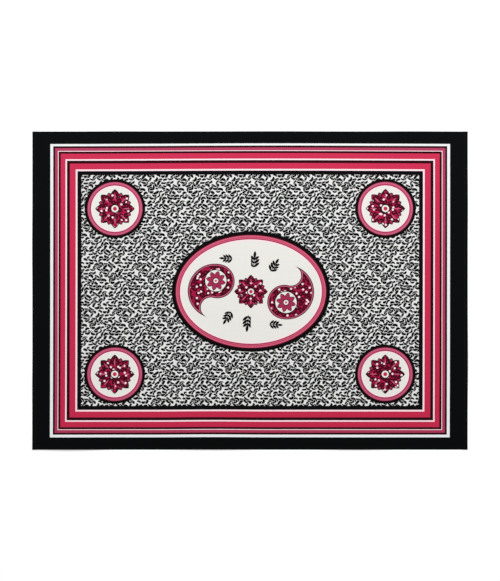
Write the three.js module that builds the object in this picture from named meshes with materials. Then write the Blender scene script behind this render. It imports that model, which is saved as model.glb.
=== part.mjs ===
// A khanga: one rectangular length of printed cotton cloth, laid out flat with its printed face up.
// The long edges are woven selvedges. The short ends are turned under and sewn down as narrow hems.
// Units are millimetres. +X runs along the selvedges, +Y across the cloth and +Z up. The origin is under the
// middle of the cloth, on the surface that it lies on.

import * as THREE from "three";
import { mergeVertices } from "three/addons/utils/BufferGeometryUtils.js";

// Driving dimensions of the cut cloth
const LENGTH = 1500; // along the selvedges
const WIDTH = 1097; // selvedge to selvedge
const CLOTH_THICKNESS = 1.2; // one layer
const SELVEDGE_WIDTH = 8; // the firm woven strip along each long edge
const SELVEDGE_THICKNESS = 1.6;
const HEM_WIDTH = 14; // turned under at each short end
const HEM_THICKNESS = 2.6; // the layers of the sewn hem
const FOLD_THICKNESS = 1.5; // at the very end, where the fold of the hem rounds off
const FOLD_RUN = 1.5; // from the edge of the cloth to the full thickness of a hem or selvedge
const LAYER_STEP = 2.5; // from the full thickness of a hem or selvedge down to one layer

// How the cloth lies: its edges wander this far in from the straight line, in the plane of the surface
const FAR_EDGE_BOW = 0.6; // the far edge is drawn in towards both ends
const NEAR_EDGE_RISE = 0.5; // the near edge is drawn in at one place
const NEAR_RISE_AT = -130;
const NEAR_RISE_REACH = 210;
const FOOT_LEAN = 0.5; // the near end of both short edges lies this far to the left
const FOOT_LEAN_FROM = -0.2; // share of the width, measured from the middle, where that lean starts

// Places where an edge or a corner stands a little clear of the surface. "at" is measured along the edge from
// its middle, "half" is half the length that stands clear, and "reach" is how far in from the edge it fades out.
const EDGE_LIFTS = [
  { edge: "far", at: -455, half: 150, reach: 120, height: 3.4 },
  { edge: "far", at: 90, half: 210, reach: 150, height: 2.6 },
  { edge: "far", at: 560, half: 170, reach: 140, height: 4.2 },
  { edge: "near", at: -620, half: 180, reach: 150, height: 4.6 },
  { edge: "near", at: -130, half: 200, reach: 130, height: 3.0 },
  { edge: "near", at: 365, half: 160, reach: 110, height: 2.4 },
  { edge: "left", at: 150, half: 170, reach: 120, height: 3.2 },
  { edge: "left", at: -330, half: 120, reach: 90, height: 2.2 },
  { edge: "right", at: -240, half: 190, reach: 140, height: 3.8 },
  { edge: "right", at: 300, half: 150, reach: 110, height: 2.8 },
];

// The grid that the cloth is faceted on: even steps inside, and extra lines where the thickness changes
const INNER_COLUMNS = 38;
const INNER_ROWS = 28;

// Distance in from an end or a selvedge, and the thickness of the cloth there
const HEM_PROFILE = [
  { inset: 0, thickness: FOLD_THICKNESS },
  { inset: FOLD_RUN, thickness: HEM_THICKNESS },
  { inset: HEM_WIDTH, thickness: HEM_THICKNESS },
  { inset: HEM_WIDTH + LAYER_STEP, thickness: CLOTH_THICKNESS },
];
const SELVEDGE_PROFILE = [
  { inset: 0, thickness: CLOTH_THICKNESS },
  { inset: FOLD_RUN, thickness: SELVEDGE_THICKNESS },
  { inset: SELVEDGE_WIDTH, thickness: SELVEDGE_THICKNESS },
  { inset: SELVEDGE_WIDTH + LAYER_STEP, thickness: CLOTH_THICKNESS },
];

// 1 in the middle of a bell and 0 from one half-width away
function bell(offset, half) {
  const share = Math.min(Math.abs(offset) / half, 1);
  return Math.cos((share * Math.PI) / 2) ** 2;
}

// Grid lines across a span: those of the profile at both ends, and even steps between them
function gridLines(span, profile, innerSteps) {
  const firstInner = profile[profile.length - 1].inset;
  const outer = profile.slice(0, -1).map((row) => row.inset);
  const innerSpan = span - 2 * firstInner;
  const inner = Array.from({ length: innerSteps + 1 }, (_, i) => firstInner + (innerSpan * i) / innerSteps);
  const mirrored = outer.map((inset) => span - inset).reverse();
  return [...outer, ...inner, ...mirrored].map((place) => place - span / 2);
}

// Thickness of a profile at a distance in from its edge
function profileThickness(profile, inset) {
  const next = profile.findIndex((row) => row.inset >= inset);
  if (next === -1) return CLOTH_THICKNESS;
  if (next === 0) return profile[0].thickness;
  const [low, high] = [profile[next - 1], profile[next]];
  const share = (inset - low.inset) / (high.inset - low.inset);
  return THREE.MathUtils.lerp(low.thickness, high.thickness, share);
}

function thicknessAt(x, y) {
  const fromEnd = LENGTH / 2 - Math.abs(x);
  const fromSelvedge = WIDTH / 2 - Math.abs(y);
  return Math.max(profileThickness(HEM_PROFILE, fromEnd), profileThickness(SELVEDGE_PROFILE, fromSelvedge));
}

// Height of the underside above the surface
function liftAt(x, y) {
  const alongAndInset = {
    far: [x, WIDTH / 2 - y],
    near: [x, WIDTH / 2 + y],
    left: [y, LENGTH / 2 + x],
    right: [y, LENGTH / 2 - x],
  };
  return EDGE_LIFTS.reduce((height, lift) => {
    const [along, inset] = alongAndInset[lift.edge];
    const fade = Math.max(1 - inset / lift.reach, 0) ** 2;
    return height + lift.height * bell(along - lift.at, lift.half) * fade;
  }, 0);
}

// Where a point of the flat cut comes to lie, once the edges wander
function laidOut(x, y) {
  const farInset = FAR_EDGE_BOW * (1 - bell(x, LENGTH / 2));
  const nearInset = NEAR_EDGE_RISE * bell(x - NEAR_RISE_AT, NEAR_RISE_REACH);
  const lean = FOOT_LEAN * THREE.MathUtils.smoothstep(-y, -FOOT_LEAN_FROM * WIDTH, WIDTH / 2);
  const leftX = -LENGTH / 2 + FOOT_LEAN - lean;
  const rightX = LENGTH / 2 - lean;
  return {
    x: THREE.MathUtils.lerp(leftX, rightX, x / LENGTH + 0.5),
    y: THREE.MathUtils.lerp(-WIDTH / 2 + nearInset, WIDTH / 2 - farInset, y / WIDTH + 0.5),
  };
}

// One closed sheet: a slab with one grid cell of thickness, whose points are moved to where the cloth lies
function clothGeometry() {
  const columns = gridLines(LENGTH, HEM_PROFILE, INNER_COLUMNS);
  const rows = gridLines(WIDTH, SELVEDGE_PROFILE, INNER_ROWS);
  const columnSteps = columns.length - 1;
  const rowSteps = rows.length - 1;
  const slab = new THREE.BoxGeometry(columnSteps, rowSteps, 1, columnSteps, rowSteps, 1);
  slab.deleteAttribute("normal");
  slab.deleteAttribute("uv");
  const points = slab.getAttribute("position");
  for (let i = 0; i < points.count; i += 1) {
    const flatX = columns[Math.round(points.getX(i) + columnSteps / 2)];
    const flatY = rows[Math.round(points.getY(i) + rowSteps / 2)];
    const isTop = points.getZ(i) > 0;
    const lying = laidOut(flatX, flatY);
    const height = liftAt(flatX, flatY) + (isTop ? thicknessAt(flatX, flatY) : 0);
    points.setXYZ(i, lying.x, lying.y, height);
  }
  const sheet = mergeVertices(slab);
  sheet.computeVertexNormals();
  return sheet;
}

const printedCotton = new THREE.MeshStandardMaterial({ color: 0x8a5a61, roughness: 0.9, metalness: 0 });

const cloth = new THREE.Mesh(clothGeometry(), printedCotton);
cloth.name = "khanga_cloth";

const khanga = new THREE.Group();
khanga.add(cloth);

export default khanga;
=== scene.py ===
# A khanga, one length of printed cotton, laid out flat with its printed face up and dressed around its solid.
# Metres: +X runs along the selvedges, +Y towards the top of the print and +Z up from the surface it lies on.
import functools
import math

import bpy
import numpy as np
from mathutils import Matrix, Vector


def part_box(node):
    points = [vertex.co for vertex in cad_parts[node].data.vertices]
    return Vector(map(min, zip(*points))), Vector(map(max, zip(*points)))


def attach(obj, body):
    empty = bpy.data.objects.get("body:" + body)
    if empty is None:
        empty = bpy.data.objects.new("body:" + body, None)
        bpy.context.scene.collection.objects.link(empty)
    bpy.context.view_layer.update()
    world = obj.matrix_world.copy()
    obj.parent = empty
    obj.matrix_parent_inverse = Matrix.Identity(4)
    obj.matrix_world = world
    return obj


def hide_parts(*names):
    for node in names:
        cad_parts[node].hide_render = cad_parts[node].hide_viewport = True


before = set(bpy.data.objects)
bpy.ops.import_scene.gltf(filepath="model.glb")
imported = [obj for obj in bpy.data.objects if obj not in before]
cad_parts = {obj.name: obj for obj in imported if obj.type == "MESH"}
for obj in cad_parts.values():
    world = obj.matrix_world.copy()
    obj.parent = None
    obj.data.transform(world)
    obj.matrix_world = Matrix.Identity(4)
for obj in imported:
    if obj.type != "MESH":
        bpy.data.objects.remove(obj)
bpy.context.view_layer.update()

# The cloth
# One cut length of plain-weave cotton, screen-printed on one face and pressed flat. Its long edges are firm
# woven selvedges. Each short end is turned under twice, so that three layers lie there, and is sewn down.
MM = 0.001
low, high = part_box("khanga_cloth")
LENGTH = high.x - low.x
WIDTH = high.y - low.y
LAYER = 0.6 * MM  # pressed cotton, with the air in its weave
SELVEDGE_LAYER = 0.8 * MM
SELVEDGE_INSETS = np.array([0, 1.5, 5, 8]) * MM  # grid lines from the edge to where the firm strip ends
GRID_PITCH = 9 * MM  # of the lines inside the hems and selvedges

# The hem's section: how far in from the end the middle of the layer lies, and how high, along the fold
AIR = 0.05 * MM  # under the cloth, so that no face of it coincides with the surface
FLOOR_LAYER = AIR + SELVEDGE_LAYER / 2  # height of the middle of a layer that lies on the surface
LAYER_PITCH = 0.7 * MM  # from one layer of the hem to the next
HEM_WIDTH = 14 * MM
HEM_RAMP = 5 * MM  # over which the cloth climbs onto the layers turned under it
TUCKED_EDGE = 10 * MM  # the raw edge, turned in between the other two layers
FOLD_STEPS = np.linspace(0, math.pi, 5)

end_fold = np.column_stack([
    LAYER_PITCH - LAYER_PITCH * np.sin(FOLD_STEPS),
    FLOOR_LAYER + LAYER_PITCH + LAYER_PITCH * np.cos(FOLD_STEPS),
])
inner_fold = np.column_stack([
    HEM_WIDTH - LAYER_PITCH / 2 + LAYER_PITCH / 2 * np.sin(FOLD_STEPS),
    FLOOR_LAYER + LAYER_PITCH / 2 - LAYER_PITCH / 2 * np.cos(FOLD_STEPS),
])
hem = np.vstack([
    [HEM_WIDTH + HEM_RAMP, FLOOR_LAYER],
    [HEM_WIDTH, FLOOR_LAYER + 2 * LAYER_PITCH],
    [HEM_WIDTH / 2, FLOOR_LAYER + 2 * LAYER_PITCH],
    end_fold,
    [HEM_WIDTH / 2, FLOOR_LAYER],
    inner_fold,
    [HEM_WIDTH - TUCKED_EDGE, FLOOR_LAYER + LAYER_PITCH],
])
hem_inset, hem_height = hem.T
hem_run = np.concatenate([[0], np.cumsum(np.hypot(*np.diff(hem, axis=0).T))])
hem_cut = LENGTH / 2 - hem_inset[0] + hem_run  # the same points on the cloth before it was folded
CUT_LENGTH = 2 * hem_cut[-1]

# The grid of the cloth: its lines along the length, as folded and as cut, and across the width
inner_columns = round((LENGTH - 2 * hem_inset[0]) / GRID_PITCH)
inner_x = np.linspace(hem_inset[0] - LENGTH / 2, LENGTH / 2 - hem_inset[0], inner_columns + 1)
end_x = LENGTH / 2 - hem_inset[1:]
column_x = np.concatenate([-end_x[::-1], inner_x, end_x])
column_cut = np.concatenate([-hem_cut[:0:-1], inner_x, hem_cut[1:]])
column_height = np.concatenate([hem_height[:0:-1], np.full(inner_x.shape, FLOOR_LAYER), hem_height[1:]])
inner_rows = round((WIDTH - 2 * SELVEDGE_INSETS[-1]) / GRID_PITCH)
inner_y = np.linspace(SELVEDGE_INSETS[-1] - WIDTH / 2, WIDTH / 2 - SELVEDGE_INSETS[-1], inner_rows + 1)
side_y = WIDTH / 2 - SELVEDGE_INSETS[:-1]
row_y = np.concatenate([-side_y, inner_y, side_y[::-1]])

# How the cloth lies, in millimetres: its edges wander in the plane, and a few places stand a little clear.
# The far edge is drawn in on both sides of its crest, the near edge is drawn in at one place, and the near
# end of the short edges leans to the left, from a share of the width that is measured down from the middle.
# The screens of the print were set a little further out of true.
CLOTH_WANDER = dict(far_bow=0.6, crest_at=0, crest_reach=750, near_rise=0.5, foot_lean=0.5, lean_from=0.2)
PRINT_WANDER = dict(far_bow=1.9, crest_at=120, crest_reach=760, near_rise=0.6, foot_lean=1.0, lean_from=-0.3)
NEAR_RISE_AT = -130
NEAR_RISE_REACH = 210
EDGE_LIFTS = (  # edge, place along it from its middle, half the length, reach inwards, height
    ("far", -455, 150, 120, 3.4),
    ("far", 90, 210, 150, 2.6),
    ("far", 560, 170, 140, 4.2),
    ("near", -620, 180, 150, 4.6),
    ("near", -130, 200, 130, 3.0),
    ("near", 365, 160, 110, 2.4),
    ("left", 150, 170, 120, 3.2),
    ("left", -330, 120, 90, 2.2),
    ("right", -240, 190, 140, 3.8),
    ("right", 300, 150, 110, 2.8),
)
HAND_ROLLS = (  # faint rolls left by smoothing it out: x, y, turn in degrees, half length, half width, height
    (-420, 190, 12, 260, 48, 0.7),
    (-150, -330, -7, 300, 56, 0.8),
    (210, 260, 4, 280, 44, 0.6),
    (480, -120, 74, 240, 52, 0.8),
    (-590, -180, 82, 220, 46, 0.7),
    (60, 20, -28, 320, 70, 0.5),
    (350, -400, 9, 240, 42, 0.7),
)


def bell(offset, half):
    """1 in the middle of a bell, and 0 from one half-width away."""
    return np.cos(np.minimum(np.abs(offset) / half, 1) * math.pi / 2) ** 2


def height_clear(x, y):
    """How far the underside stands clear of the surface, in metres."""
    x, y = x / MM, y / MM
    length, width = LENGTH / MM, WIDTH / MM
    along_and_inset = {
        "far": (x, width / 2 - y),
        "near": (x, width / 2 + y),
        "left": (y, length / 2 + x),
        "right": (y, length / 2 - x),
    }
    height = np.zeros_like(x)
    for edge, at, half, reach, top in EDGE_LIFTS:
        along, inset = along_and_inset[edge]
        height += top * bell(along - at, half) * np.maximum(1 - inset / reach, 0) ** 2
    for roll_x, roll_y, turn, half_length, half_width, top in HAND_ROLLS:
        cosine, sine = math.cos(math.radians(turn)), math.sin(math.radians(turn))
        along = (x - roll_x) * cosine + (y - roll_y) * sine
        across = (y - roll_y) * cosine - (x - roll_x) * sine
        height += top * bell(along, half_length) * bell(across, half_width)
    return height * MM


def wandered(x, y, far_bow, crest_at, crest_reach, near_rise, foot_lean, lean_from):
    """Where a point of the straight cloth comes to lie, once its edges wander."""
    far_inset = far_bow * MM * (1 - bell(x - crest_at * MM, crest_reach * MM))
    near_inset = near_rise * MM * bell(x - NEAR_RISE_AT * MM, NEAR_RISE_REACH * MM)
    down = np.clip((-y / WIDTH - lean_from) / (0.5 - lean_from), 0, 1)
    lean = foot_lean * MM * down * down * (3 - 2 * down)
    left, right = foot_lean * MM - LENGTH / 2 - lean, LENGTH / 2 - lean
    near, far = near_inset - WIDTH / 2, WIDTH / 2 - far_inset
    return left + (right - left) * (x / LENGTH + 0.5), near + (far - near) * (y / WIDTH + 0.5)


def gathered(items, name, columns, kind=float):
    """One property of all the points, corners or faces of a mesh, with so many columns."""
    values = np.empty(columns * len(items), kind)
    items.foreach_get(name, values)
    return values.reshape(-1, columns)


bpy.ops.object.select_all(action="DESELECT")
bpy.ops.mesh.primitive_grid_add(
    x_subdivisions=len(column_x) - 1, y_subdivisions=len(row_y) - 1, size=1, calc_uvs=True
)
cloth = bpy.context.object
cloth.name = "printed_cloth"
points = gathered(cloth.data.vertices, "co", 3)
column = np.rint((points[:, 0] + 0.5) * (len(column_x) - 1)).astype(int)
row = np.rint((points[:, 1] + 0.5) * (len(row_y) - 1)).astype(int)
straight_x, straight_y = column_x[column], row_y[row]
points[:, 0], points[:, 1] = wandered(straight_x, straight_y, **CLOTH_WANDER)
points[:, 2] = column_height[column] + height_clear(straight_x, straight_y)
cloth.data.vertices.foreach_set("co", points.ravel())

# The cloth's own map holds each point's place in the print on the flat cut, in metres from its middle
printed_x, printed_y = wandered(straight_x, straight_y, **PRINT_WANDER)
flat_cut = np.column_stack([column_cut[column] + straight_x - printed_x, 2 * straight_y - printed_y])
corners = gathered(cloth.data.loops, "vertex_index", 1, int).ravel()
cloth.data.uv_layers[0].name = "flat_cut"
cloth.data.uv_layers["flat_cut"].data.foreach_set("uv", flat_cut[corners].ravel())

# The layer gets its thickness, with one material slot for the printed face and one for the reverse
PRINTED_FACE, REVERSE = 0, 1
SHARP_FOLD = math.radians(50)  # an edge that turns by more than this stays sharp
for _ in (PRINTED_FACE, REVERSE):
    cloth.data.materials.append(None)
firm_strip = cloth.vertex_groups.new(name="selvedge")
on_selvedge = (row < len(side_y)) | (row >= len(row_y) - len(side_y))
firm_strip.add(np.flatnonzero(on_selvedge).tolist(), 1.0, "REPLACE")
bpy.ops.object.modifier_add(type="SOLIDIFY")
weave_thickness = cloth.modifiers[-1]
weave_thickness.thickness = SELVEDGE_LAYER
weave_thickness.vertex_group = firm_strip.name
weave_thickness.thickness_vertex_group = LAYER / SELVEDGE_LAYER
weave_thickness.offset = 0
weave_thickness.use_even_offset = True
weave_thickness.material_offset = REVERSE - PRINTED_FACE
bpy.ops.object.modifier_apply(modifier=weave_thickness.name)
bpy.ops.object.shade_smooth_by_angle(angle=SHARP_FOLD)

# A second map lays the cloth out for baking: the printed face over most of the image, with the thin rim round
# it, and the reverse in the strip below. The reverse has its own points, in the order of those of the face.
FACE_SHARE = 0.7  # of the image's height
BAKE_MARGIN = 0.006  # round each face, as a share of the image
BAKE_RIM = 0.004  # of that margin, taken by the rim
FACE_CORNERS = 4  # every face of the cloth is a quad
face_middle = np.array([0.5, 1 - FACE_SHARE / 2])
face_size = np.array([1, FACE_SHARE]) - 2 * BAKE_MARGIN
reverse_middle = np.array([0.5, (1 - FACE_SHARE) / 2])
reverse_size = np.array([1, 1 - FACE_SHARE]) - 2 * BAKE_MARGIN
corners = gathered(cloth.data.loops, "vertex_index", 1, int)
slots = gathered(cloth.data.polygons, "material_index", 1, int)
on_reverse = np.repeat(slots == REVERSE, FACE_CORNERS, axis=0)
under_rim = (corners >= len(column)) & ~on_reverse
cut_share = np.column_stack([column_cut[column] / CUT_LENGTH, straight_y / WIDTH])
share = cut_share[corners.ravel() % len(column)]
outward = np.sign(share) * np.isclose(np.abs(share), 0.5)
on_face = face_middle + share * face_size + under_rim * outward * BAKE_RIM
seen_from_below = reverse_middle + share * reverse_size * (-1, 1)
bake_map = cloth.data.uv_layers.new(name="OFBake", do_init=False)
bake_map.data.foreach_set("uv", np.where(on_reverse, seen_from_below, on_face).ravel())


def linear(hex_colour):
    """A linear colour with full alpha, from an sRGB hex value."""
    shares = [int(hex_colour[start:start + 2], 16) / 255 for start in (1, 3, 5)]
    return [s / 12.92 if s <= 0.04045 else ((s + 0.055) / 1.055) ** 2.4 for s in shares] + [1]


def add_node(tree, kind, *inputs, output=0, named=None, **settings):
    """Adds a shader node, links or sets its inputs in order or by name, and returns one of its outputs."""
    made = tree.nodes.new("ShaderNode" + kind)
    for name, value in settings.items():
        setattr(made, name, value)
    for socket, value in [*enumerate(inputs), *(named or {}).items()]:
        if isinstance(value, bpy.types.NodeSocket):
            tree.links.new(value, made.inputs[socket])
        elif value is not None:
            made.inputs[socket].default_value = value
    return made.outputs[output] if made.outputs else None


def bare_material(name):
    """A material with no nodes yet, and the function that adds them."""
    material = bpy.data.materials.new(name)
    material.use_nodes = True
    material.node_tree.nodes.clear()
    return material, functools.partial(add_node, material.node_tree)


# The print, drawn in millimetres from the middle of the cloth. Pigment inks were screened onto bleached
# cotton, so edges are crisp with a slight bleed, solid areas are flat, and the ground shows as bare cotton.
COTTON = "#E9E7E1"
MARGIN_WHITE = "#ECEFEF"
LINE_WHITE = "#FFE3E9"
GROUND_WHITE = "#E2E2E1"
GROUND_BLACK = "#171718"
BLACK_INK = "#0A090B"
WARM_BLACK = "#2A0A10"  # black screened over red
BAND_BLACK = "#070A0B"
CRIMSON = "#CC3053"
RASPBERRY = "#B23F5F"
CORAL = "#D65E7A"
ROSE = "#C75B7A"
DEEP_ROSE = "#A62F55"
DEEP_CRIMSON = "#A41B43"
MAROON = "#43091C"
BLUSH = "#FBE2E8"
print_tree = bpy.data.node_groups.new("khanga_print", "ShaderNodeTree")
print_tree.interface.new_socket("Colour", in_out="OUTPUT", socket_type="NodeSocketColor")
node = functools.partial(add_node, print_tree)

BLEED = 0.35  # how far the edge of a screened shape wanders
BLEED_SIZE = 9  # from one such wander to the next
bleed_noise = {"Scale": 1 / BLEED_SIZE, "Detail": 2.0}
flat_place = node("VectorMath", node("UVMap", uv_map="flat_cut"), (1 / MM, 1 / MM, 0), operation="MULTIPLY")
bleed = node("TexNoise", flat_place, output="Color", named=bleed_noise, noise_dimensions="2D")
centred_bleed = node("VectorMath", bleed, (0.5, 0.5, 0.5), operation="SUBTRACT")
place = node("VectorMath", centred_bleed, (2 * BLEED, 2 * BLEED, 0), flat_place, operation="MULTIPLY_ADD")


def rectangle_depth(middle_y, half_x, half_y):
    """How far a point lies inside a rectangle."""
    offset = node("VectorMath", place, (0, middle_y, 0), operation="SUBTRACT")
    folded = node("VectorMath", offset, operation="ABSOLUTE")
    depth = node("VectorMath", (half_x, half_y, 0), folded, operation="SUBTRACT")
    sides = node("SeparateXYZ", depth).node.outputs
    return node("Math", sides["X"], sides["Y"], operation="MINIMUM")


def ruled_bands(distance, bands):
    """Colours in turn along a distance: each band is its width and its ink."""
    whole = sum(width for width, _ in bands)
    colour = node("ValToRGB", node("Math", distance, whole, operation="DIVIDE"))
    ramp = colour.node.color_ramp
    ramp.interpolation = "CONSTANT"
    start = 0
    for index, (width, ink) in enumerate(bands):
        stop = ramp.elements.new(start / whole) if index else ramp.elements[0]
        stop.color = linear(ink)
        start += width
    ramp.elements.remove(ramp.elements[-1])
    return colour


def printed_over(under, distance, spread, ink):
    """The colours under a shape, with its ink wherever the distance outside the shape is below spread."""
    mask = node("Math", distance, spread, operation="LESS_THAN")
    return node("MixRGB", mask, under, linear(ink) if isinstance(ink, str) else ink)


# Ruled border: a plain black band along the edge, a white margin, then two sets of square-cornered stripes
BAND_INNER_EDGE = dict(middle_y=0.6, half_x=689.4, half_y=506.5)
OUTER_SET_EDGE = dict(middle_y=1.4, half_x=679.5, half_y=498.1)
INNER_SET_EDGE = dict(middle_y=1.2, half_x=637.2, half_y=453.4)
OUTER_SET = (
    (6.5, WARM_BLACK),
    (9.6, RASPBERRY),
    (2.4, LINE_WHITE),
    (7.1, WARM_BLACK),
    (25.0, CRIMSON),
)
INNER_SET = (
    (5.1, LINE_WHITE),
    (9.8, WARM_BLACK),
    (20.3, CRIMSON),
    (6.0, LINE_WHITE),
    (13.5, BLACK_INK),
)
inner_set_depth = rectangle_depth(**INNER_SET_EDGE)
print_colour = linear(MARGIN_WHITE)
for depth, stripes in ((rectangle_depth(**OUTER_SET_EDGE), OUTER_SET), (inner_set_depth, INNER_SET)):
    outside = node("Math", depth, -1.0, operation="MULTIPLY")
    print_colour = printed_over(print_colour, outside, 0, ruled_bands(depth, stripes))
print_colour = printed_over(print_colour, rectangle_depth(**BAND_INNER_EDGE), 0, BAND_BLACK)

# Speckled ground: short brush marks, one to a cell, in a repeat that steps half its width at each drop
CELL = (16.75, 11.14)
REPEAT_CELLS = (8, 14)
STAGGER = 0.5  # share of a cell that every other row is set over
SCATTER = (0.6, 0.5)  # share of its cell that a mark may be moved, across and up
MARK_TURN = (-1.15, 0.85)  # radians, from the steepest mark one way to the steepest the other way
HALF_LENGTH = (3.2, 8.2)
HALF_BREADTH = (3.0, 4.8)
HOOK = 0.07  # greatest bend, for each millimetre squared along the mark
MARK_DRAWS = (3.0, 11.0)  # which chances set the marks: their places and turns, then their shapes
LANE = 0.85  # bare cotton is left where one mark is nearer than the next by less than this


def speckle_distance():
    """How far a point lies outside the nearest brush mark, with a bare lane kept before the next one."""
    grid = node("SeparateXYZ", node("VectorMath", place, (*CELL, 1), operation="DIVIDE")).node.outputs
    own_row = node("Math", grid["Y"], operation="FLOOR")
    nearest = next_nearest = max(CELL)
    for up in (-1, 0, 1):
        mark_row = node("Math", own_row, up, operation="ADD")
        row_in_repeat = node("Math", mark_row, REPEAT_CELLS[1], 0, operation="WRAP")
        drop = node("Math", node("Math", mark_row, REPEAT_CELLS[1], operation="DIVIDE"), operation="FLOOR")
        odd_row = node("Math", mark_row, 2, 0, operation="WRAP")
        set_over = node("Math", odd_row, STAGGER, grid["X"], operation="MULTIPLY_ADD")
        own_column = node("Math", set_over, operation="FLOOR")
        on_grid = node("CombineXYZ", set_over, grid["Y"])
        for across in (-1, 0, 1):
            mark_column = node("Math", own_column, across, operation="ADD")
            stepped = node("Math", drop, -REPEAT_CELLS[0] / 2, mark_column, operation="MULTIPLY_ADD")
            column_in_repeat = node("Math", stepped, REPEAT_CELLS[0], 0, operation="WRAP")
            corner = node("CombineXYZ", mark_column, mark_row)
            in_cell = node("VectorMath", on_grid, corner, operation="SUBTRACT")
            distance = mark_distance(in_cell, column_in_repeat, row_in_repeat)
            further = node("Math", nearest, distance, operation="MAXIMUM")
            next_nearest = node("Math", next_nearest, further, operation="MINIMUM")
            nearest = node("Math", nearest, distance, operation="MINIMUM")
    lead = node("Math", next_nearest, nearest, operation="SUBTRACT")
    in_lane = node("Math", LANE, lead, operation="SUBTRACT")
    return node("Math", nearest, in_lane, operation="MAXIMUM")


def mark_distance(in_cell, column_in_repeat, row_in_repeat):
    """How far a point lies outside the mark of one cell, given its place from the corner of that cell."""
    chances = [
        node("TexWhiteNoise", node("CombineXYZ", column_in_repeat, row_in_repeat, draw), output="Color")
        for draw in MARK_DRAWS
    ]
    turn = node("SeparateXYZ", chances[0]).node.outputs["Z"]
    shape = node("SeparateXYZ", chances[1]).node.outputs
    nearest_corner = (0.5 - SCATTER[0] / 2, 0.5 - SCATTER[1] / 2, 0)
    offset = node("VectorMath", in_cell, nearest_corner, operation="SUBTRACT")
    reach = (-SCATTER[0], -SCATTER[1], 0)
    scattered = node("VectorMath", chances[0], reach, offset, operation="MULTIPLY_ADD")
    local = node("VectorMath", scattered, (*CELL, 0), operation="MULTIPLY")
    angle = node("Math", turn, MARK_TURN[1] - MARK_TURN[0], MARK_TURN[0], operation="MULTIPLY_ADD")
    turned = node("VectorRotate", local, named={"Angle": angle}, rotation_type="Z_AXIS")
    along, aside = node("SeparateXYZ", turned).node.outputs[:2]
    half_length = node("Math", shape["X"], HALF_LENGTH[1] - HALF_LENGTH[0], HALF_LENGTH[0],
                       operation="MULTIPLY_ADD")
    half_breadth = node("Math", shape["Y"], HALF_BREADTH[1] - HALF_BREADTH[0], HALF_BREADTH[0],
                        operation="MULTIPLY_ADD")
    hook = node("Math", shape["Z"], 2 * HOOK, -HOOK, operation="MULTIPLY_ADD")
    squared = node("Math", along, along, operation="MULTIPLY")
    bent = node("Math", squared, hook, aside, operation="MULTIPLY_ADD")
    past_middle = node("Math", node("Math", along, operation="ABSOLUTE"), half_length, operation="SUBTRACT")
    past_end = node("Math", past_middle, 0.0, operation="MAXIMUM")
    from_line = node("VectorMath", node("CombineXYZ", past_end, bent), output="Value", operation="LENGTH")
    return node("Math", from_line, half_breadth, operation="SUBTRACT")


ground = printed_over(linear(GROUND_WHITE), speckle_distance(), 0, GROUND_BLACK)
FIELD_DEPTH = sum(width for width, _ in INNER_SET)
outside_field = node("Math", FIELD_DEPTH, inner_set_depth, operation="SUBTRACT")
print_colour = printed_over(print_colour, outside_field, 0, ground)


# Ringed oval in the middle and a ringed round in each corner, white inside
def oval_distance(local, half_width, half_height):
    """How far a point lies outside an oval, close to its edge."""
    axes = (half_width, half_height, 1)
    scaled = node("VectorMath", local, axes, operation="DIVIDE")
    level = node("VectorMath", scaled, output="Value", operation="LENGTH")
    gradient = node("VectorMath", scaled, axes, operation="DIVIDE")
    slope = node("VectorMath", gradient, output="Value", operation="LENGTH")
    steepness = node("Math", level, slope, operation="DIVIDE")
    return node("Math", node("Math", level, 1.0, operation="SUBTRACT"), steepness, operation="MULTIPLY")


def ringed(under, edge_distance, rings):
    """The colours under a ringed medallion, with its white inside and its rings, from inside outwards."""
    whole = sum(width for width, _ in rings)
    from_inside = node("Math", edge_distance, whole, operation="ADD")
    return printed_over(under, edge_distance, whole, ruled_bands(from_inside, ((whole, COTTON), *rings)))


OVAL_MIDDLE = (2.8, -3.8, 0)
OVAL = (240.1, 175.1)
OVAL_RINGS = (
    (4.4, BLUSH),
    (3.7, DEEP_ROSE),
    (3.3, CORAL),
    (1.5, DEEP_ROSE),
    (5.7, CORAL),
    (3.5, MAROON),
    (10.7, BLACK_INK),
)
ROUND_SPACING = (466.6, 285.7, 0)
ROUND_MIDDLE = (0, -2.4, 0)
ROUND = (78.2, 75.4)
ROUND_RINGS = (
    (4.2, BLUSH),
    (4.0, DEEP_ROSE),
    (7.9, ROSE),
    (3.0, MAROON),
    (7.5, BLACK_INK),
)
in_oval = node("VectorMath", place, OVAL_MIDDLE, operation="SUBTRACT")
from_middle = node("VectorMath", place, ROUND_MIDDLE, operation="SUBTRACT")
in_round = node("VectorMath", node("VectorMath", from_middle, operation="ABSOLUTE"), ROUND_SPACING,
                operation="SUBTRACT")
print_colour = ringed(print_colour, oval_distance(in_oval, *OVAL), OVAL_RINGS)
print_colour = ringed(print_colour, oval_distance(in_round, *ROUND), ROUND_RINGS)

# Motifs: cashew drops and flowers, filled in crimson with maroon rings and pale flecks, and black leaf sprigs
SPOT_PITCH = 15
FLECK_PITCH = 22
SPOT_RINGS = ((0.15, DEEP_CRIMSON), (0.38, MAROON), (0.47, DEEP_CRIMSON))
FLECK_RADIUS = 0.17
spots = node("TexVoronoi", place, named={"Scale": 1 / SPOT_PITCH}, voronoi_dimensions="2D")
flecks = node("TexVoronoi", place, named={"Scale": 1 / FLECK_PITCH}, voronoi_dimensions="2D")
spotted = printed_over(ruled_bands(spots, SPOT_RINGS), flecks, FLECK_RADIUS, BLUSH)

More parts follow.
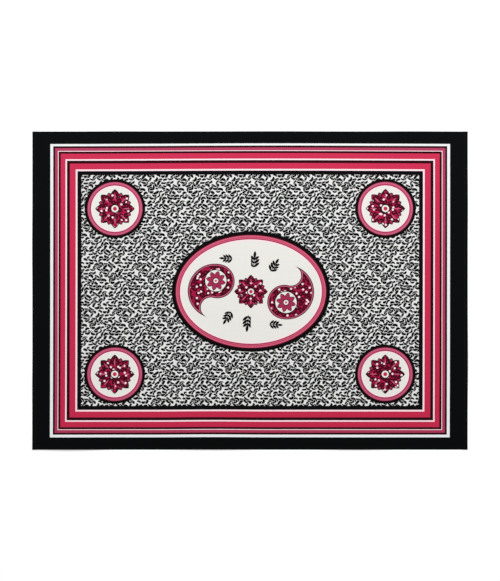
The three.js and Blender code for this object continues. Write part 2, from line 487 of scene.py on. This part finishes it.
# Heads, petals, leaves, discs and eyes are sized as shares of the radius or the length of their motif. The
# inks of a drop or a petal reach so many millimetres past its edge, or stop short of it.
PETALS = 8  # in each ring
CASHEW_HEAD = 0.63
CASHEW_INKS = ((0, BLACK_INK), (-2.8, ROSE), (-6.4, BLACK_INK), (-8.4, spotted))
ROSETTE_SHIFT = 0.06  # from the middle of the drop's head
ROSETTE_DISC = ((0.42, BLACK_INK), (0.39, COTTON))
ROSETTE_PETALS = dict(start=0.06, end=0.35, half_width=0.075)
ROSETTE_INKS = ((1.6, BLACK_INK), (0, DEEP_ROSE))
ROSETTE_EYE = ((0.12, BLACK_INK), (0.09, COTTON), (0.04, CRIMSON))
BACK_PETALS = dict(start=0.2, end=0.88, half_width=0.2)
BACK_INKS = ((0, BLACK_INK), (-2.4, DEEP_ROSE))
FRONT_PETALS = dict(start=0.1, end=1, half_width=0.25)
FRONT_INKS = ((0, BLACK_INK), (-2.8, spotted))
VEINS = dict(start=0.42, end=0.78, half_width=0.035)
VEIN_INKS = ((0, ROSE),)
FLOWER_EYE = ((0.23, BLACK_INK), (0.18, COTTON), (0.1, CRIMSON))
STEM = dict(start=0, end=0.9, half_width=0.025)
TIP_LEAF = dict(start=0.6, end=1, half_width=0.08)
SIDE_LEAVES = ((0.1, 0.42), (0.3, 0.40), (0.5, 0.34))  # where each pair grows on the stem, and its length
SIDE_LEAF_HALF_WIDTH = 0.075
SIDE_LEAF_TURN = 46  # degrees from the stem


def turned_about(local, middle, degrees):
    """A point's place from a middle, in axes turned by some degrees."""
    offset = node("VectorMath", local, (*middle, 0), operation="SUBTRACT")
    back = math.radians(-degrees)
    return node("VectorRotate", offset, named={"Angle": back}, rotation_type="Z_AXIS")


def from_point(local, x, y):
    """How far a point lies from another."""
    return node("VectorMath", local, (x, y, 0), output="Value", operation="DISTANCE")


def cashew_distance(local, radius, head):
    """How far a point lies outside a drop with a round head at -Y and a tip that curls round to +Y."""
    disc = node("Math", from_point(local, 0, 0), radius, operation="SUBTRACT")
    left_of_middle = node("Math", node("SeparateXYZ", local), -1.0, operation="MULTIPLY")
    half_disc = node("Math", disc, left_of_middle, operation="MAXIMUM")
    round_head = node("Math", from_point(local, 0, head - radius), head, operation="SUBTRACT")
    notch = node("Math", radius - head, from_point(local, 0, head), operation="SUBTRACT")
    return node("Math", node("Math", half_disc, round_head, operation="MINIMUM"), notch, operation="MAXIMUM")


def leaf_distance(local, scale, start, end, half_width):
    """How far a point lies outside a pointed leaf that runs along +X. Its sizes are shares of the scale."""
    start, end, half_width = (size * scale for size in (start, end, half_width))
    half = (end - start) / 2
    bow = (half ** 2 + half_width ** 2) / (2 * half_width)  # radius of the leaf's two sides
    sides = [from_point(local, start + half, side * (bow - half_width)) for side in (-1, 1)]
    return node("Math", node("Math", *sides, operation="MAXIMUM"), bow, operation="SUBTRACT")


def petals_distance(local, radius, start, end, half_width):
    """How far a point lies outside a ring of pointed petals. Their sizes are shares of the motif's radius."""
    sides = node("SeparateXYZ", local).node.outputs
    angle = node("Math", sides["Y"], sides["X"], operation="ARCTAN2")
    folded = node("Math", angle, math.pi / PETALS, -math.pi / PETALS, operation="WRAP")
    from_eye = from_point(local, 0, 0)
    along = node("Math", from_eye, node("Math", folded, operation="COSINE"), operation="MULTIPLY")
    aside = node("Math", from_eye, node("Math", folded, operation="SINE"), operation="MULTIPLY")
    return leaf_distance(node("CombineXYZ", along, aside), radius, start, end, half_width)


def layered(under, distance, layers, scale=1):
    """The colours under a shape that is printed in several inks, each out to its own distance."""
    for spread, ink in layers:
        under = printed_over(under, distance, spread * scale, ink)
    return under


def cashew(under, local, radius):
    """A cashew drop with a rose rim, and a rosette on a pale disc in its head."""
    head = CASHEW_HEAD * radius
    in_head = turned_about(local, (ROSETTE_SHIFT * radius, head - radius), 0)
    from_eye = from_point(in_head, 0, 0)
    under = layered(under, cashew_distance(local, radius, head), CASHEW_INKS)
    under = layered(under, from_eye, ROSETTE_DISC, radius)
    under = layered(under, petals_distance(in_head, radius, **ROSETTE_PETALS), ROSETTE_INKS)
    return layered(under, from_eye, ROSETTE_EYE, radius)


def flower(under, local, radius):
    """A flower with a second ring of petals between those of the first, and a ringed eye."""
    between = turned_about(local, (0, 0), 180 / PETALS)
    under = layered(under, petals_distance(between, radius, **BACK_PETALS), BACK_INKS)
    under = layered(under, petals_distance(local, radius, **FRONT_PETALS), FRONT_INKS)
    under = layered(under, petals_distance(local, radius, **VEINS), VEIN_INKS)
    return layered(under, from_point(local, 0, 0), FLOWER_EYE, radius)


def sprig(under, local, length):
    """A black sprig that runs along +X: a thin stem with pairs of narrow leaves and one more at its tip."""
    sides = node("SeparateXYZ", local).node.outputs
    folded = node("CombineXYZ", sides["X"], node("Math", sides["Y"], operation="ABSOLUTE"))
    shapes = [leaf_distance(local, length, **leaf) for leaf in (STEM, TIP_LEAF)]
    for grows_at, reach in SIDE_LEAVES:
        on_leaf = turned_about(folded, (grows_at * length, 0), SIDE_LEAF_TURN)
        shapes.append(leaf_distance(on_leaf, length, 0, reach, SIDE_LEAF_HALF_WIDTH))
    for shape in shapes:
        under = printed_over(under, shape, 0, BLACK_INK)
    return under


# The motifs of the oval are laid out alike when the cloth is turned end for end
CASHEW_PLACE = dict(middle=(124, -2), degrees=-14)
CASHEW_RADIUS = 94
OVAL_FLOWER_RADIUS = 58
ROUND_FLOWER_RADIUS = 68
SPRIGS = (  # foot, turn in degrees, length
    ((8, 78), 84, 62),
    ((66, 66), 58, 56),
    ((60, -112), -4, 50),
)
half_turn = node("Math", node("SeparateXYZ", in_oval), operation="SIGN")
in_half = node("VectorMath", in_oval, named={"Scale": half_turn}, operation="SCALE")
print_colour = cashew(print_colour, turned_about(in_half, **CASHEW_PLACE), CASHEW_RADIUS)
print_colour = flower(print_colour, in_oval, OVAL_FLOWER_RADIUS)
for foot, turn, length in SPRIGS:
    print_colour = sprig(print_colour, turned_about(in_half, foot, turn), length)
print_colour = flower(print_colour, in_round, ROUND_FLOWER_RADIUS)

# Painted light and shade, as the light falls off towards the viewer: the colours are a little lighter at the
# far edge and deepen towards the near edge, and the reds most
PAINTED_SHADE_GAMMA = (0.98, 1.05)  # at the far and at the near selvedge
PAINTED_RED_SHADE = 0.15  # how much further a full red darkens at the near selvedge
upward = node("SeparateXYZ", flat_place).node.outputs["Y"]
nearness = node("MapRange", upward, WIDTH / 2 / MM, -WIDTH / 2 / MM, 0.0, 1.0)
painted_shade_gamma = node("MapRange", nearness, 0.0, 1.0, *PAINTED_SHADE_GAMMA)
red, green = node("SeparateColor", print_colour).node.outputs[:2]
redness = node("Math", red, green, operation="SUBTRACT")
near_redness = node("Math", redness, nearness, operation="MULTIPLY")
red_shade = node("Math", near_redness, -PAINTED_RED_SHADE, 1.0, operation="MULTIPLY_ADD")
# The print with its painted shade, darker towards the near edge
print_with_painted_shade = node("MixRGB", 1.0, node("Gamma", print_colour, painted_shade_gamma), red_shade, blend_type="MULTIPLY")
print_output = print_tree.nodes.new("NodeGroupOutput")
print_tree.links.new(print_with_painted_shade, print_output.inputs["Colour"])

# Cotton, plain-woven and screen-printed: a dry matt face with uneven threads both ways. The threads are about
# 0.5 mm apart, too fine to show here, so the slubs are drawn 3 mm wide.
SLUB_WIDTH = 3.0 * MM
SLUB_LENGTH = 90 * MM
THREAD_RANGE = (0.6, 1.4)  # of the slubs both ways, added together
THREAD_SHADE = (0.982, 1.018)  # how far thin and thick threads darken and lighten the inks
COTTON_LIGHTNESS = 0.8
DRYNESS = (0.82, 0.94)  # roughness of full ink and of bare cotton
SHOW_THROUGH = 0.07  # on the reverse


def woven_cotton(name, show_through):
    """The printed cotton of one face. show_through is the share of bare cotton that pales its inks."""
    material, node = bare_material(name)
    slubs = {"Scale": 1.0, "Detail": 3.0}
    cut = node("UVMap", uv_map="flat_cut")
    warp_place = node("VectorMath", cut, (SLUB_LENGTH, SLUB_WIDTH, 1), operation="DIVIDE")
    weft_place = node("VectorMath", cut, (SLUB_WIDTH, SLUB_LENGTH, 1), operation="DIVIDE")
    warp = node("TexNoise", warp_place, named=slubs, noise_dimensions="2D")
    weft = node("TexNoise", weft_place, named=slubs, noise_dimensions="2D")
    threads = node("Math", warp, weft, operation="ADD")
    shade = node("MapRange", threads, *THREAD_RANGE, *THREAD_SHADE)
    inks = node("Group", node_tree=print_tree)
    paled = node("MixRGB", show_through, inks, linear(COTTON))
    shaded = node("MixRGB", 1.0, paled, shade, blend_type="MULTIPLY")
    dryness = node("MapRange", node("RGBToBW", paled), 0.0, COTTON_LIGHTNESS, *DRYNESS)
    relief = node("Bump", named={"Strength": 0.35, "Distance": 0.3 * MM, "Height": threads})
    surface = node("BsdfPrincipled", named={
        "Base Color": shaded,
        "Roughness": dryness,
        "IOR": 1.5,
        "Specular IOR Level": 0.04,
        "Sheen Weight": 0.03,
        "Sheen Roughness": 0.5,
        "Normal": relief,
    })
    node("OutputMaterial", surface)
    return material


cloth.data.materials[PRINTED_FACE] = woven_cotton("screen_printed_cotton", 0.0)
cloth.data.materials[REVERSE] = woven_cotton("cotton_reverse", SHOW_THROUGH)
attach(cloth, "root")
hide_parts("khanga_cloth")

# The hem stitching
# One row of lockstitch along each hem, in twisted black cotton thread, sewn by machine through all three
# layers. Each stitch lies on the cloth in its middle and dives into it at both ends.
STITCH_PITCH = 3.4 * MM
STITCH_LENGTH = 3.0 * MM
THREAD_RADIUS = 0.28 * MM
THREAD_SIDES = 6
SHARP_THREAD = math.radians(70)
STITCH_RISE = 0.9 * THREAD_RADIUS
STITCH_INSET = HEM_WIDTH - 3 * MM  # the row runs 3 mm from the inner fold
BARE_END = 4 * MM  # of the hem, at each selvedge
HEMS = 2
stitch_count = int((WIDTH - 2 * BARE_END) / STITCH_PITCH)
first_stitch_y = -(stitch_count - 1) * STITCH_PITCH / 2
hem_top = FLOOR_LAYER + 2 * LAYER_PITCH + LAYER / 2

bpy.ops.object.select_all(action="DESELECT")
bpy.ops.mesh.primitive_cylinder_add(
    vertices=THREAD_SIDES, radius=THREAD_RADIUS, depth=STITCH_LENGTH, rotation=(math.pi / 2, 0, 0),
    location=(STITCH_INSET - LENGTH / 2, first_stitch_y, hem_top),
)
stitching = bpy.context.object
stitching.name = "hem_stitching"
bpy.ops.object.transform_apply(location=True, rotation=True, scale=True)
bpy.ops.object.mode_set(mode="EDIT")
bpy.ops.mesh.select_all(action="SELECT")
bpy.ops.mesh.bisect(plane_co=(0, first_stitch_y, 0), plane_no=(0, 1, 0), use_fill=False)
bpy.ops.transform.translate(value=(0, 0, STITCH_RISE))
bpy.ops.object.mode_set(mode="OBJECT")
rows_of_stitches = (
    (stitch_count, (0, STITCH_PITCH, 0)),
    (HEMS, (LENGTH - 2 * STITCH_INSET, 0, 0)),
)
for copies, step in rows_of_stitches:
    bpy.ops.object.modifier_add(type="ARRAY")
    repeat = stitching.modifiers[-1]
    repeat.count = copies
    repeat.use_relative_offset = False
    repeat.use_constant_offset = True
    repeat.constant_offset_displace = step
    bpy.ops.object.modifier_apply(modifier=repeat.name)
points = gathered(stitching.data.vertices, "co", 3)
clear = height_clear(points[:, 0], points[:, 1])
points[:, 0], points[:, 1] = wandered(points[:, 0], points[:, 1], **CLOTH_WANDER)
points[:, 2] += clear
stitching.data.vertices.foreach_set("co", points.ravel())
bpy.ops.object.shade_smooth_by_angle(angle=SHARP_THREAD)

# Cotton sewing thread, two plies twisted: a soft dark cord with painted slanting highlights, 0.6 mm from ply
# to ply.
PLY_PITCH = 0.6 * MM
PLY_SHADE_AND_HIGHLIGHT = ("#0B0B0D", "#26262A")
thread, node = bare_material("twisted_cotton_thread")
where = node("TexCoord", output="Object")
plies = node("TexWave", where, 1 / (2 * PLY_PITCH), output="Fac", bands_direction="DIAGONAL")
# The thread's own black, with a painted highlight along the crest of each ply
painted_ply_highlights = node("MixRGB", plies, *map(linear, PLY_SHADE_AND_HIGHLIGHT))
ply_relief = node("Bump", named={"Strength": 0.5, "Distance": 0.1 * MM, "Height": plies})
node("OutputMaterial", node("BsdfPrincipled", named={
    "Base Color": painted_ply_highlights,
    "Roughness": 0.7,
    "IOR": 1.5,
    "Specular IOR Level": 0.2,
    "Normal": ply_relief,
}))
stitching.data.materials.clear()
stitching.data.materials.append(thread)
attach(stitching, "root")

# The floor
# A seamless sheet of pale studio paper, matt and very slightly uneven. It gives off a little light of its
# own, so that it comes out white.
FLOOR_SIZE = 40
TOOTH_PITCH = 25 * MM
PAPER_SHADES = ("#FBFBFA", "#FFFFFF")
PAPER_GLOW = 0.18
WHITE = (1, 1, 1, 1)
bpy.ops.object.select_all(action="DESELECT")
bpy.ops.mesh.primitive_plane_add(size=FLOOR_SIZE)
floor = bpy.context.object
floor.name = "floor"
paper, node = bare_material("pale_studio_paper")
where = node("TexCoord", output="Object")
tooth = node("TexNoise", where, named={"Scale": 1 / TOOTH_PITCH, "Detail": 4.0})
node("OutputMaterial", node("BsdfPrincipled", named={
    "Base Color": node("MixRGB", tooth, *map(linear, PAPER_SHADES)),
    "Roughness": 0.95,
    "Specular IOR Level": 0.1,
    "Emission Color": WHITE,
    "Emission Strength": PAPER_GLOW,
}))
floor.data.materials.append(paper)

# The light
# An even white studio, with one large soft box beyond the far edge. Its light falls off towards the viewer.
STUDIO_LIGHT = 0.545
SOFT_BOX_AT = (0.2, 2.6, 3.4)
SOFT_BOX_SIZE = 3.0
SOFT_BOX_WATTS = 124
world = bpy.data.worlds.new("white_studio")
bpy.context.scene.world = world
world.use_nodes = True
background = world.node_tree.nodes["Background"].inputs
background["Color"].default_value = WHITE
background["Strength"].default_value = STUDIO_LIGHT
bpy.ops.object.light_add(type="AREA", location=SOFT_BOX_AT)
soft_box = bpy.context.object
soft_box.name = "soft_box"
soft_box.data.size = SOFT_BOX_SIZE
soft_box.data.energy = SOFT_BOX_WATTS
soft_box.rotation_euler = (-math.atan2(SOFT_BOX_AT[1], SOFT_BOX_AT[2]), 0, 0)
bpy.context.scene.view_settings.view_transform = "Standard"

# The camera
# It looks straight down on the middle of the cloth, with the far edge at the top of the picture.
PICTURE_HEIGHT = 581
CLOTH_IN_PICTURE = 435.2  # the cloth's length in pixels
LENS = 85
SENSOR = 36
view_height = LENGTH / CLOTH_IN_PICTURE * PICTURE_HEIGHT
bpy.ops.object.camera_add(location=(0, 0, view_height * LENS / SENSOR), rotation=(0, 0, 0))
camera = bpy.context.object
camera.data.lens = LENS
camera.data.sensor_width = SENSOR
bpy.context.scene.camera = camera
